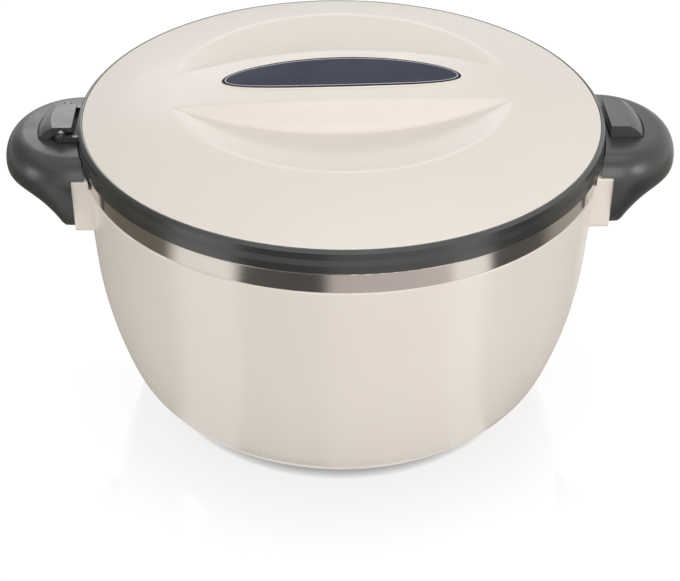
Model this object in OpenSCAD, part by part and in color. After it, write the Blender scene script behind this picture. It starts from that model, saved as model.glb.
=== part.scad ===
// Insulated serving pot: a plastic outer bowl with a steel food pan, foam between them,
// two ear handles and a domed, insulated lid that hinges on the left handle and snaps
// shut on the right one. Origin: centre of the footprint, on the table.
// +Z is up, +X runs through the two handles to the latch, and -Y faces the viewer.

/* [Outer bowl] */
// Height of the outer bowl's top edge above the table
body_h = 146; // [136:1:156]
// Outer radius of the bowl at its top edge
body_r = 138.7; // [134:0.1:143]
// Wall thickness of the outer bowl
shell_wall = 2.5; // [1.8:0.1:3.2]
// Draft of the straight upper wall, in degrees
wall_draft = 3; // [2:0.5:5]
// Height of the straight upper wall
straight_h = 51; // [44:1:58]
// Radius of the belly arc
belly_r = 224; // [200:1:250]
// Slope of the wall where the belly arc runs into the heel arc, in degrees
heel_start = 20; // [17:1:23]
// Roundness of the bowl's top edge
lip_round = 1; // [0.5:0.1:1.2]

/* [Base] */
// Height of the bowl's underside above the table
ground_gap = 0.8; // [0.5:0.1:1.5]
// Radius of the opening that the base cap closes
base_open_r = 80; // [76:1:82]
// Thickness of the base cap
cap_t = 3; // [2.5:0.1:4]
// Width of the ledge that the base cap is screwed to
ledge_w = 9; // [8:0.5:11]
// Distance of the rubber foot ring's middle inside the edge of that opening
foot_set = 14; // [13:0.5:22]
// Width of the rubber foot ring
foot_w = 6; // [4:0.5:8]
// Number of base cap screws
cap_screws = 3; // [3:1:6]

/* [Steel pan] */
// Height of the visible steel band
band_h = 12; // [9:0.5:15]
// Width of the rim between the pan's mouth and the bowl's top edge
mouth_w = 10.7; // [9.7:0.1:14]
// Sheet thickness of the pan
pan_wall = 0.8; // [0.6:0.1:1.2]
// Draft of the pan's wall, in degrees
pan_draft = 4; // [3:0.5:6]
// Radius of the pan's bottom corner
pan_corner = 32; // [24:1:40]
// Height of the pan's underside above the table
pan_z = 22; // [18:1:28]
// Radius of the rolled bead round the pan's mouth
bead_r = 1.1; // [0.9:0.1:1.3]

/* [Lid] */
// Height of the plastic lid ring
ring_h = 12.2; // [10:0.1:14]
// Wall thickness of the lid ring
ring_wall = 2.7; // [2.2:0.1:3.4]
// Gap between the lid ring and the steel rim
seal_gap = 0.2; // [0.1:0.05:0.3]
// Rise of the dome at its crown above the lid's edge
dome_rise = 22.5; // [20:0.5:26]
// Curvature radius of the dome's crown
crown_r = 480; // [460:1:520]
// Wall thickness of the lid shell
lid_wall = 2.2; // [1.8:0.1:2.6]
// Radius where the scoops cut the dome
scoop_r = 90; // [86:1:94]
// Curvature radius of the scoop floors
floor_r = 394; // [370:1:420]
// Half width of the grip bar at its middle
bar_w = 28.6; // [26:0.2:32]
// Plan radius of the grip bar's bowed sides
bar_bow = 310; // [280:5:340]
// Slope of the grip bar's walls from upright, in degrees
bar_slope = 20; // [15:1:26]
// Turn of the grip bar from the line through the handles, in degrees
bar_turn = 2.5; // [0:0.5:4]
// Depth of the lid's inner plate below the rim
plug_depth = 8; // [6:0.5:11]
// Gap between the inner plate and the pan
plug_gap = 2; // [1.5:0.1:3]

/* [Nameplate] */
// Half length of the oval nameplate
plate_l = 63.5; // [56:0.5:66]
// Half width of the oval nameplate
plate_w = 17; // [14:0.5:19]
// Thickness of the nameplate, half of it let into the lid
plate_t = 1; // [0.6:0.1:1.4]

/* [Handles] */
// Distance of the handles' flat seats outside the bowl's top radius
seat_out = 2.7; // [2.2:0.1:3.4]
// Reach of a handle beyond its seat
ear_reach = 39.5; // [37:0.1:44]
// Half width of a handle
ear_w = 43.6; // [43:0.1:50]
// How far a handle's widest line lies below the bowl's top edge
belly_down = 1.5; // [0:0.1:5]
// Power of a handle's rounding from its crown to its widest line
crown_power = 1.95; // [1.8:0.05:3]
// Radius of the arch under a handle
arch_r = 31.5; // [30:0.5:34]
// How far the arch's top lies below the bowl's top edge
arch_down = 8; // [7:0.1:10]
// How far a handle's foot ends above the bracket's underside
foot_up = 2.5; // [2:0.1:8]
// Half width of the bracket that carries a handle
bracket_w = 42; // [38:0.5:42]
// Height of the bracket
bracket_h = 31; // [28:0.5:36]
// How far the bracket stands above the bowl's top edge
bracket_up = 5; // [3:0.5:7]
// Height of a handle's crown above the bowl's top edge
crown_up = 14.3; // [13.5:0.1:15]
// Thickness of the handle's foot behind the finger recess
foot_t = 9.6; // [8.5:0.1:11]
// Half width of the finger recess
recess_w = 33; // [28:0.5:35]
// Half distance between the two screws of a handle
screw_y = 28; // [22:0.5:32]

/* [Hinge and latch] */
// Distance of the hinge pin's axis outside the lid ring
pin_out = 7.9; // [7.4:0.1:8.6]
// Height of the hinge pin's axis above the bowl's top edge
pin_up = 17.4; // [17:0.1:18]
// Radius of the hinge pin
pin_r = 1.75; // [1.5:0.05:1.85]
// Running clearance of the pin in the hinge block
pin_play = 0.05; // [0.03:0.01:0.08]
// Outer radius of the lid's knuckles
knuckle_r = 2.8; // [2.7:0.1:3]
// Width of each lid knuckle
knuckle_w = 4; // [3:0.1:5]
// Half width of the hinge block
hinge_w = 13.4; // [12.5:0.1:15]
// Half width of the latch button
button_w = 15.4; // [13:0.1:16.5]
// Length of the blocks' flat tops at their middle
block_top = 12; // [11:0.1:13]
// Plan radius of the edge where the blocks' tops end
crease_r = 45; // [40:1:60]
// Height of the blocks' tops above the bowl's top edge
block_up = 21; // [20:0.1:22]
// Clearance round the latch button
button_gap = 0.4; // [0.3:0.05:0.6]
// Travel of the latch button when it is pressed
button_travel = 2.5; // [2:0.1:2.8]
// Half width of the snap tongue
tongue_w = 6; // [4.5:0.5:8]
// Wire radius of the button's spring
wire_r = 0.4; // [0.3:0.05:0.5]
// Turns of the button's spring
turns = 4.5; // [3:0.5:5]

/* [Hidden] */
$fn = 160;
// Overshoot of cutters
cut = 1;
// Gap that keeps neighbouring inner pieces from rubbing
ease = 0.15;
// Facets of the shapes that are hulled
soft_fn = 72;

// Outer bowl profile: a straight draft, a belly arc and a heel arc, each tangent to the next
straight_z = body_h - straight_h;
straight_r = body_r - straight_h * tan(wall_draft);
belly_x = straight_r - belly_r * cos(wall_draft);
belly_z = straight_z + belly_r * sin(wall_draft);
heel_z = belly_z - belly_r * sin(heel_start);
heel_end_r = belly_x + belly_r * cos(heel_start);
heel_r = (heel_z - ground_gap) / (1 - sin(heel_start));
heel_x = heel_end_r - heel_r * cos(heel_start);
floor_z = ground_gap + heel_r;

// Base
cap_z = ground_gap + 0.2;
cap_seat_z = cap_z + cap_t;
ledge_t = 2.5;
ledge_top = cap_seat_z + ledge_t;
cap_fit = 0.4;
cap_screw_r = base_open_r - ledge_w / 2;
boss_r = 4;
boss_top = ledge_top + 5;
cap_hole_top = boss_top - 1;
cap_tip_z = cap_hole_top - 1;
screw_r = 1.5;
head_r = 3;
head_h = 1.8;
head_seat_z = cap_z + 2;
foot_r = base_open_r - foot_set;
foot_in = 1.4;
panel_rim = 6;
panel_sink = 0.6;
lip_x = body_r - lip_round * (1 + tan(wall_draft));

// Steel pan
pan_r = body_r - mouth_w;
rim_z = body_h + band_h;
band_r = body_r - 0.6;
band_ease = 1.1;
bead_x = band_r - bead_r / 2;
pan_out_r = pan_r + pan_wall;
pan_tan_z = pan_z + pan_corner * (1 - sin(pan_draft));
pan_tan_r = pan_out_r - (rim_z - pan_tan_z) * tan(pan_draft);
pan_cx = pan_tan_r - pan_corner * cos(pan_draft);
pan_cz = pan_z + pan_corner;
foam_top = body_h - 0.5;

// Lid
lid_r = body_r - 1.2;
ring_in_r = lid_r + 0.4;
ring_r = ring_in_r + ring_wall;
ring_z = rim_z + seal_gap;
ring_top = ring_z + ring_h;
flange_t = 2.8;
flange_top = ring_z + flange_t;
flange_in_r = pan_r + 0.8;
lid_edge_z = ring_top - 0.4;
ring_bevel = 1.5;
waist_in = 0.6;
waist_top = ring_top - 5;
waist_low = ring_top - 8;
crown_z = lid_edge_z + dome_rise;
scoop_z = crown_z - crown_r + sqrt(crown_r * crown_r - scoop_r * scoop_r);
// The shoulder arc leaves the crown arc at the scoops' edge and meets the lid's edge
tilt = asin(scoop_r / crown_r);
drop = scoop_z - lid_edge_z;
run = lid_r - scoop_r;
shoulder_r = (run * run + drop * drop) / (2 * (drop * cos(tilt) - run * sin(tilt)));
shoulder_x = scoop_r - shoulder_r * sin(tilt);
shoulder_z = scoop_z - shoulder_r * cos(tilt);
edge_round = 1.5;
edge_x = lid_r - edge_round;
edge_reach = shoulder_r - edge_round;
edge_z = shoulder_z + sqrt(edge_reach * edge_reach - (edge_x - shoulder_x) * (edge_x - shoulder_x));
floor_cz = scoop_z + sqrt(floor_r * floor_r - scoop_r * scoop_r);
bar_chamfer = 3;
chamfer_slope = 55;
plate_fit = 0.1;
plug_r = pan_r - plug_gap;
plug_z = rim_z - plug_depth;
plug_corner = 4;
liner_t = 0.8;
liner_lap = 4;
lid_foam_top = floor_cz - floor_r - lid_wall - 0.5;
gasket_r = pan_r + 5;
gasket_w = 3;
gasket_h = 1.6;
gasket_z = rim_z + 0.05;

// Handles
seat_x = body_r + seat_out;
seat_ease = 0.2;
ear_in_r = ring_r + 0.6;
bracket_z = body_h + bracket_up - bracket_h;
bracket_top = body_h + bracket_up;
bracket_round = 2.5;
ear_top = body_h + crown_up;
ear_belly_z = body_h - belly_down;
ear_foot_z = bracket_z + foot_up;
ear_tuck = 5;
crown_flat = 0.72;
crown_steps = 9;
arch_x = seat_x + 36.6;
arch_z = body_h - arch_down - arch_r;
recess_x = seat_x + foot_t;
recess_out = ear_reach - foot_t - 7;
recess_top = body_h - 8.5;
recess_round = 6;
body_screw_r = 1.75;
body_head_r = 3.4;
body_head_h = 2.5;
screw_z = bracket_z + bracket_h / 2;
head_seat_x = sqrt(pow(body_r - shell_wall, 2) - screw_y * screw_y) + 1.6;
screw_tip_x = recess_x - 2;

// Blocks on the handles
block_x = ring_r + 2.4;
block_z = body_h + block_up;
block_plan_x = block_x + block_top - crease_r;
block_arc = 14.5;
block_arc_in = 5.2;
block_arc_r = crease_r - block_arc_in;
block_arc_z = block_z - sqrt(block_arc * block_arc - block_arc_in * block_arc_in);
block_foot = body_h + 9;
block_tip_z = body_h + 14;
block_screw_y = 8;
block_screw_x = block_x + 13;
block_head_z = recess_top + 3;

// Hinge
pin_x = ring_r + pin_out;
pin_z = body_h + pin_up;
arm_in = hinge_w + 0.3;
arm_out = arm_in + knuckle_w;
arm_t = 2.2;
arm_up = 0.2;
pin_proud = 0.2;
stop_r = 3.4;
stop_t = 1.8;
stop_angle = 130;
hood_z = pin_z + 0.6;
notch_in = 3.4;
notch_out = 7;
notch_lean = 5.5;

// Latch
pocket_z = body_h + 1;
latch_x = block_x + 12;
button_bottom = pocket_z + button_travel + 0.6;
button_wall = 1.6;
spring_top = pocket_z + 6;
spring_r = 4.6;
spring_hub_r = 3;
spring_plate_t = 2;
tongue_t = 1.7;
tongue_x = ring_r - 1.3;
tongue_top = waist_low;
hook_z = bracket_top + 1.4;
hook_h = 2;
hook_x = block_x + 0.4;
window_top = hook_z + hook_h + 0.6;
cam_x = block_x + button_wall + 0.4;
cam_z = hook_z + hook_h + button_travel + 0.1 - (cam_x - hook_x);

module ring_2d(r0, r1, z0, z1) {
    translate([r0, z0]) square([r1 - r0, z1 - z0]);
}

// Half section of the outer bowl, shrunk by t
module bowl_2d(t) {
    top_r = body_r - t / cos(wall_draft);
    low_r = top_r - straight_h * tan(wall_draft);
    polygon([[0, straight_z], [low_r, straight_z], [top_r, body_h], [0, body_h]]);
    intersection() {
        translate([belly_x, belly_z]) circle(r = belly_r - t, $fn = 720);
        ring_2d(0, body_r, heel_z, straight_z);
    }
    intersection() {
        translate([heel_x, floor_z]) circle(r = heel_r - t);
        ring_2d(heel_x, body_r, 0, heel_z);
    }
    ring_2d(0, heel_x, ground_gap + t, heel_z);
}

// Half section of the pan's outside, shrunk by t
module pan_2d(t) {
    top_r = pan_out_r - t / cos(pan_draft);
    low_r = top_r - (rim_z - pan_tan_z) * tan(pan_draft);
    polygon([[0, pan_tan_z], [low_r, pan_tan_z], [top_r, rim_z], [0, rim_z]]);
    intersection() {
        translate([pan_cx, pan_cz]) circle(r = pan_corner - t);
        ring_2d(pan_cx, pan_out_r, 0, pan_tan_z);
    }
    ring_2d(0, pan_cx, pan_z + t, pan_tan_z);
}

// Half section of the lid's dome down to z0, shrunk by t
module dome_2d(t, z0) {
    reach = 2 * shoulder_r;
    intersection() {
        union() {
            translate([shoulder_x, shoulder_z]) circle(r = shoulder_r - t, $fn = 720);
            intersection() {
                translate([0, crown_z - crown_r]) circle(r = crown_r - t, $fn = 1440);
                polygon([[0, shoulder_z], [shoulder_x, shoulder_z],
                    [shoulder_x + reach * sin(tilt), shoulder_z + reach * cos(tilt)],
                    [0, shoulder_z + reach * cos(tilt)]]);
            }
        }
        union() {
            ring_2d(0, lid_r - t, z0, edge_z);
            polygon([[0, edge_z], [edge_x, edge_z],
                [shoulder_x + reach * (edge_x - shoulder_x) / edge_reach,
                 shoulder_z + reach * (edge_z - shoulder_z) / edge_reach],
                [0, shoulder_z + reach]]);
            if (t < edge_round) translate([edge_x, edge_z]) circle(r = edge_round - t);
        }
    }
}

// Rectangle with round corners, standing on the X axis
module rounded_2d(half_w, h, r) {
    translate([r - half_w, 0]) square([2 * (half_w - r), h]);
    translate([-half_w, r]) square([2 * half_w, h - 2 * r]);
    for (sx = [-1, 1], z = [r, h - r]) translate([sx * (half_w - r), z]) circle(r = r);
}

// Puts a right-hand piece on the right (1) or mirrors it to the left (-1)
module placed(side) {
    mirror([side < 0 ? 1 : 0, 0, 0]) children();
}

// Places of the base cap's screws
module cap_screw_places() {
    for (i = [0 : cap_screws - 1])
        rotate([0, 0, 360 * (i + 0.5) / cap_screws]) translate([cap_screw_r, 0, 0]) children();
}

// Axes of one handle's screws, pointing outwards from the bowl's middle
module handle_screw_axes() {
    for (y = [-screw_y, screw_y]) translate([0, y, screw_z]) rotate([0, 90, 0]) children();
}

// Screw with its head's underside at z = 0 and its shaft pointing up
module screw(r, len, hr, hh) {
    slot = 0.8;
    difference() {
        union() {
            cylinder(h = len, r = r);
            translate([0, 0, -hh]) cylinder(h = hh, r = hr);
        }
        for (a = [0, 90]) rotate([0, 0, a])
            translate([-0.7 * hr, -slot / 2, -hh - cut]) cube([1.4 * hr, slot, cut + 0.6 * hh]);
    }
}

module outer_shell() {
    color([0.86, 0.83, 0.79]) difference() {
        union() {
            difference() {
                union() {
                    rotate_extrude() difference() {
                        bowl_2d(0);
                        difference() {
                            ring_2d(lip_x, body_r + cut, body_h - lip_round, body_h + cut);
                            translate([lip_x, body_h - lip_round]) circle(r = lip_round);
                        }
                    }
                    for (side = [-1, 1]) placed(side) translate([0, 0, bracket_z])
                        rotate([90, 0, 90]) linear_extrude(seat_x)
                            rounded_2d(bracket_w, bracket_h, bracket_round);
                }
                rotate_extrude() {
                    difference() {
                        bowl_2d(shell_wall);
                        ring_2d(0, base_open_r + shell_wall, 0, ledge_top);
                    }
                    ring_2d(0, base_open_r, 0, cap_seat_z);
                    ring_2d(0, base_open_r - ledge_w, 0, ledge_top + cut);
                    ring_2d(0, band_r + band_ease, body_h, bracket_top + cut);
                }
            }
            cap_screw_places() translate([0, 0, cap_seat_z])
                cylinder(h = boss_top - cap_seat_z, r = boss_r);
        }
        cap_screw_places() translate([0, 0, cap_seat_z - cut])
            cylinder(h = cap_hole_top - cap_seat_z + cut, r = screw_r);
        for (side = [-1, 1]) placed(side) handle_screw_axes() {
            cylinder(h = seat_x + cut, r = body_screw_r + 0.25);
            cylinder(h = head_seat_x, r = body_head_r + 0.3);
        }
    }
}

module inner_pan() {
    color([0.78, 0.76, 0.74]) rotate_extrude() difference() {
        union() {
            pan_2d(0);
            ring_2d(pan_r, band_r - bead_r / 2, rim_z - pan_wall, rim_z);
            ring_2d(band_r - pan_wall, band_r, body_h, rim_z - bead_r);
            translate([bead_x, rim_z - bead_r]) circle(r = bead_r);
        }
        pan_2d(pan_wall);
    }
}

module body_foam() {
    color([0.93, 0.87, 0.62]) difference() {
        rotate_extrude() difference() {
            bowl_2d(shell_wall + ease);
            pan_2d(-ease);
            ring_2d(0, body_r, 0, ledge_top);
            ring_2d(0, body_r, foam_top, body_h + cut);
        }
        cap_screw_places() cylinder(h = boss_top + ease, r = boss_r + ease);
        for (side = [-1, 1]) placed(side) handle_screw_axes()
            translate([0, 0, head_seat_x - body_head_h - ease])
                cylinder(h = body_r, r = body_head_r + 2 * ease);
    }
}

module base_cap() {
    color([0.55, 0.54, 0.52]) difference() {
        translate([0, 0, cap_z]) cylinder(h = cap_t, r = base_open_r - cap_fit);
        rotate_extrude() ring_2d(foot_r - foot_w / 2, foot_r + foot_w / 2, 0, cap_z + foot_in);
        cylinder(h = cap_z + panel_sink, r = foot_r - foot_w / 2 - panel_rim);
        cap_screw_places() {
            cylinder(h = cap_seat_z + cut, r = screw_r + 0.2);
            cylinder(h = head_seat_z, r = head_r + 0.3);
        }
    }
}

module foot_ring() {
    toe = 0.8;
    color([0.2, 0.2, 0.2]) rotate_extrude() {
        ring_2d(foot_r - foot_w / 2, foot_r + foot_w / 2, toe, cap_z + foot_in);
        ring_2d(foot_r - foot_w / 2 + toe, foot_r + foot_w / 2 - toe, 0, toe);
        for (side = [-1, 1]) translate([foot_r + side * (foot_w / 2 - toe), toe]) circle(r = toe);
    }
}

module base_screws() {
    color([0.6, 0.6, 0.6]) cap_screw_places() translate([0, 0, head_seat_z])
        screw(screw_r, cap_tip_z - head_seat_z, head_r, head_h);
}

// Right handle without its pockets: a rounded crown over an oval foot, arched underneath
module ear() {
    crown_h = ear_top - ear_belly_z;
    foot_half = ear_w - ear_tuck;
    difference() {
        hull() {
            translate([seat_x, 0, ear_belly_z]) scale([ear_reach / ear_w, 1, 1])
                rotate_extrude($fn = soft_fn) polygon(concat([[0, 0]],
                    [for (i = [crown_steps : -1 : 0]) let (a = 90 * i / crown_steps)
                        [ear_w * (crown_flat + (1 - crown_flat) * pow(sin(a), 2 / crown_power)),
                         crown_h * pow(cos(a), 2 / crown_power)]],
                    [[0, crown_h]]));
            translate([seat_x, 0, ear_foot_z]) scale([(ear_reach - ear_tuck) / foot_half, 1, 1])
                cylinder(h = cut, r = foot_half, $fn = soft_fn);
        }
        cylinder(h = ear_top + cut, r = ear_in_r);
        translate([0, -2 * ear_w, 0]) cube([seat_x, 4 * ear_w, bracket_top + seat_ease]);
        translate([arch_x, 0, arch_z]) rotate([90, 0, 0])
            cylinder(h = 3 * ear_w, r = arch_r, center = true, $fn = 2 * soft_fn);
        translate([recess_x + recess_out / 2, 0, bracket_z - cut]) rotate([0, 0, 90])
            translate([0, -recess_out / 2, 0]) linear_extrude(recess_top - bracket_z + cut)
                rounded_2d(recess_w, recess_out, recess_round);
        handle_screw_axes() cylinder(h = screw_tip_x + cut, r = body_screw_r);
    }
}

// Block that stands on a handle, grown by g: half width, and its foot at z0
module block(g, half, z0) {
    intersection() {
        translate([block_plan_x, 0, 0]) rotate_extrude() {
            ring_2d(0, crease_r, z0, block_z + g);
            intersection() {
                translate([block_arc_r, block_arc_z]) circle(r = block_arc + g);
                ring_2d(crease_r - cut, block_arc_r + 2 * block_arc, block_arc_z, block_z + g);
            }
            ring_2d(crease_r - cut, block_arc_r + block_arc + g, z0, block_arc_z);
        }
        translate([block_x - g, -half - g, z0])
            cube([crease_r, 2 * (half + g), block_z + g + cut - z0]);
    }
}

module left_handle() {
    color([0.27, 0.27, 0.26]) placed(-1) difference() {
        ear();
        block(ease, hinge_w, block_foot);
        for (y = [-block_screw_y, block_screw_y]) translate([block_screw_x, y, 0]) {
            cylinder(h = block_foot + cut, r = screw_r + 0.2);
            cylinder(h = block_head_z, r = head_r + 0.3);
        }
    }
}

module right_handle() {
    color([0.27, 0.27, 0.26]) difference() {
        ear();
        block(button_gap, button_w, pocket_z);
        translate([latch_x, 0, 0]) cylinder(h = pocket_z + cut, r = screw_r + button_gap / 2);
        translate([ring_r, -tongue_w - cut, bracket_top])
            cube([block_x - ring_r, 2 * (tongue_w + cut), window_top - bracket_top]);
    }
}

module handle_screws() {
    color([0.6, 0.6, 0.6]) for (side = [-1, 1]) placed(side) handle_screw_axes()
        translate([0, 0, head_seat_x])
            screw(body_screw_r, screw_tip_x - head_seat_x, body_head_r, body_head_h);
}

module hinge_block() {
    color([0.3, 0.3, 0.29]) placed(-1) difference() {
        block(0, hinge_w, block_foot);
        translate([pin_x, 0, pin_z]) rotate([90, 0, 0])
            cylinder(h = 4 * hinge_w, r = pin_r + pin_play, center = true);
        for (s = [-1, 1]) translate([0, s * hinge_w + notch_in, 0]) rotate([90, 0, 0])
            linear_extrude(2 * notch_in) polygon([[block_x - cut, ear_top],
                [block_x + notch_out + notch_lean, ear_top], [block_x + notch_out, hood_z],
                [block_x - cut, hood_z]]);
        for (y = [-block_screw_y, block_screw_y]) translate([block_screw_x, y, block_foot - cut])
            cylinder(h = block_tip_z - block_foot + cut, r = screw_r);
    }
}

module hinge_screws() {
    color([0.6, 0.6, 0.6]) placed(-1) for (y = [-block_screw_y, block_screw_y])
        translate([block_screw_x, y, block_head_z])
            screw(screw_r, block_tip_z - block_head_z, head_r, head_h);
}

module hinge_pin() {
    half = arm_out + pin_proud;
    chamfer = 0.4;
    color([0.75, 0.75, 0.75]) translate([-pin_x, 0, pin_z]) rotate([90, 0, 0])
        rotate_extrude() polygon([[0, -half], [pin_r - chamfer, -half], [pin_r, chamfer - half],
            [pin_r, half - chamfer], [pin_r - chamfer, half], [0, half]]);
}

module latch_button() {
    color([0.3, 0.3, 0.29]) difference() {
        block(0, button_w, button_bottom);
        difference() {
            block(-button_wall, button_w, button_bottom - cut);
            translate([latch_x, 0, button_bottom])
                cylinder(h = block_z - button_bottom, r = spring_hub_r);
            translate([latch_x, 0, spring_top])
                cylinder(h = spring_plate_t, r = spring_r + 2 * wire_r + 1);
        }
        translate([latch_x, 0, button_bottom - cut])
            cylinder(h = block_tip_z - button_bottom + cut, r = screw_r);
        translate([0, tongue_w + cut, 0]) rotate([90, 0, 0]) linear_extrude(2 * (tongue_w + cut))
            polygon([[block_x - cut, button_bottom - cut], [cam_x, button_bottom - cut],
                [cam_x, cam_z], [block_x - cut, cam_z + cam_x - block_x + cut]]);
    }
}

// One ring of points round the spring's wire, at angle a of the coil
function coil_ring(a, z, r, wire, sides) = [for (i = [0 : sides - 1])
    let (b = 360 * i / sides, d = r + wire * cos(b)) [d * cos(a), d * sin(a), z + wire * sin(b)]];

module coil(r, wire, z0, z1, turns) {
    sides = 8;
    steps = 16;
    n = ceil(turns * steps);
    rings = [for (k = [0 : n]) coil_ring(360 * turns * k / n, z0 + (z1 - z0) * k / n, r, wire, sides)];
    points = [for (ring = rings) for (p = ring) p];
    polyhedron(points = points, faces = concat(
        [[for (i = [0 : sides - 1]) i]],
        [for (k = [0 : n - 1], i = [0 : sides - 1])
            [k * sides + i, (k + 1) * sides + i, (k + 1) * sides + (i + 1) % sides]],
        [for (k = [0 : n - 1], i = [0 : sides - 1])
            [k * sides + i, (k + 1) * sides + (i + 1) % sides, k * sides + (i + 1) % sides]],
        [[for (i = [sides - 1 : -1 : 0]) n * sides + i]]));
}

module latch_spring() {
    color([0.75, 0.75, 0.75]) translate([latch_x, 0, 0])
        coil(spring_r, wire_r, pocket_z + wire_r, spring_top - wire_r, turns);
}

module latch_screw() {
    color([0.6, 0.6, 0.6]) translate([latch_x, 0, recess_top - ease])
        screw(screw_r, block_tip_z - recess_top + ease, head_r, head_h);
}

// Cone that bounds one side of the grip bar: at the crown its edge lies set inside the bar's
module bar_side(t, slope, set, far) {
    low = flange_top;
    high = crown_z + cut;
    edge_r = bar_bow - set - t / cos(slope);
    translate([0, far * (bar_bow - bar_w), low])
        cylinder(h = high - low, r1 = edge_r + (crown_z - low) * tan(slope),
            r2 = edge_r - (high - crown_z) * tan(slope), $fn = 720);
}

module bar_body(t) {
    intersection() {
        bar_side(t, bar_slope, 0, 1);
        bar_side(t, bar_slope, 0, -1);
        bar_side(t, chamfer_slope, bar_chamfer, 1);
        bar_side(t, chamfer_slope, bar_chamfer, -1);
    }
}

// Space of the two finger scoops, grown by t: a shallow dish with the grip bar left standing
module scoops(t) {
    rotate([0, 0, bar_turn]) difference() {
        translate([0, 0, floor_cz]) sphere(r = floor_r + t, $fn = 360);
        bar_body(t);
    }
}

// Oval column over the nameplate's place, grown by g
module plate_column(g) {
    rotate([0, 0, bar_turn]) scale([(plate_l + g) / (plate_w + g), 1, 1])
        cylinder(h = crown_z + 2 * cut, r = plate_w + g);
}

module crown_ball(g) {
    translate([0, 0, crown_z - crown_r]) sphere(r = crown_r + g, $fn = 360);
}

module lid_shell() {
    color([0.93, 0.90, 0.86]) difference() {
        rotate_extrude() dome_2d(0, flange_top);
        scoops(0);
        difference() {
            rotate_extrude() dome_2d(lid_wall, flange_top - cut);
            scoops(lid_wall);
        }
        difference() {
            plate_column(plate_fit);
            crown_ball(-plate_t / 2);
        }
    }
}

module nameplate() {
    color([0.31, 0.32, 0.38]) intersection() {
        plate_column(0);
        crown_ball(plate_t / 2);
        difference() {
            translate([0, 0, crown_z / 2]) cylinder(h = crown_z, r = 2 * plate_l);
            crown_ball(-plate_t / 2);
        }
    }
}

module lid_ring() {
    color([0.28, 0.28, 0.27]) difference() {
        union() {
            rotate_extrude() difference() {
                polygon([[flange_in_r, ring_z], [ring_r, ring_z], [ring_r, waist_low],
                    [ring_r - waist_in, waist_top], [ring_r - waist_in, ring_top - ring_bevel],
                    [ring_r - waist_in - ring_bevel, ring_top], [ring_in_r, ring_top],
                    [ring_in_r, flange_top], [flange_in_r, flange_top]]);
                ring_2d(gasket_r - gasket_w / 2, gasket_r + gasket_w / 2,
                    ring_z - cut, ring_z + gasket_h);
            }
            for (s = [-1, 1]) translate([-pin_x, s * (arm_in + knuckle_w / 2), pin_z])
                rotate([90, 0, 0]) {
                    cylinder(h = knuckle_w, r = knuckle_r, center = true);
                    translate([0, -knuckle_r, s < 0 ? knuckle_w / 2 - arm_t : -knuckle_w / 2])
                        cube([pin_x - ring_r + ring_wall - cut / 2, knuckle_r + arm_up, arm_t]);
                    if (s < 0) rotate([0, 0, stop_angle])
                        translate([0, -stop_t / 2, -knuckle_w / 2])
                            cube([stop_r, stop_t, knuckle_w]);
                }
        }
        translate([-pin_x, 0, pin_z]) rotate([90, 0, 0])
            cylinder(h = 4 * hinge_w, r = pin_r, center = true);
        translate([tongue_x, -tongue_w - ease, ring_z - cut])
            cube([ring_wall, 2 * (tongue_w + ease), tongue_top - ring_z + cut]);
    }
}

module latch_tongue() {
    color([0.25, 0.25, 0.24]) translate([0, tongue_w, 0]) rotate([90, 0, 0])
        linear_extrude(2 * tongue_w) polygon([[tongue_x, hook_z], [tongue_x + tongue_t, hook_z],
            [hook_x, hook_z + hook_h / 2], [hook_x, hook_z + hook_h],
            [tongue_x + tongue_t, hook_z + hook_h], [tongue_x + tongue_t, ring_z],
            [ring_r - ease, ring_z], [ring_r - ease, tongue_top], [tongue_x, tongue_top]]);
}

// Half section of the inner plate's outside, shrunk by t
module liner_2d(t) {
    ring_2d(0, plug_r - plug_corner, plug_z + t, flange_top);
    ring_2d(0, plug_r - t, plug_z + plug_corner, flange_top + liner_t + (t > 0 ? cut : 0));
    translate([plug_r - plug_corner, plug_z + plug_corner]) circle(r = plug_corner - t);
}

module lid_liner() {
    color([0.78, 0.76, 0.74]) rotate_extrude() difference() {
        union() {
            liner_2d(0);
            ring_2d(0, flange_in_r + liner_lap, flange_top, flange_top + liner_t);
        }
        liner_2d(liner_t);
    }
}

module lid_foam() {
    r = plug_r - liner_t - ease;
    chamfer = 4;
    z0 = plug_z + liner_t;
    color([0.93, 0.87, 0.62]) rotate_extrude()
        polygon([[0, z0], [r - chamfer, z0], [r, z0 + chamfer], [r, lid_foam_top - chamfer],
            [r - chamfer, lid_foam_top], [0, lid_foam_top]]);
}

module lid_gasket() {
    color([0.85, 0.85, 0.85]) rotate_extrude()
        ring_2d(gasket_r - gasket_w / 2, gasket_r + gasket_w / 2, gasket_z, ring_z + gasket_h);
}

outer_shell();
inner_pan();
body_foam();
base_cap();
foot_ring();
base_screws();
left_handle();
right_handle();
handle_screws();
hinge_block();
hinge_screws();
hinge_pin();
latch_button();
latch_spring();
latch_screw();
lid_shell();
lid_ring();
lid_liner();
lid_foam();
lid_gasket();
nameplate();
latch_tongue();
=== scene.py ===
"""Insulated serving pot: looks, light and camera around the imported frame."""
import math

import bpy
import numpy as np
from mathutils import Matrix, Vector


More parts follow.
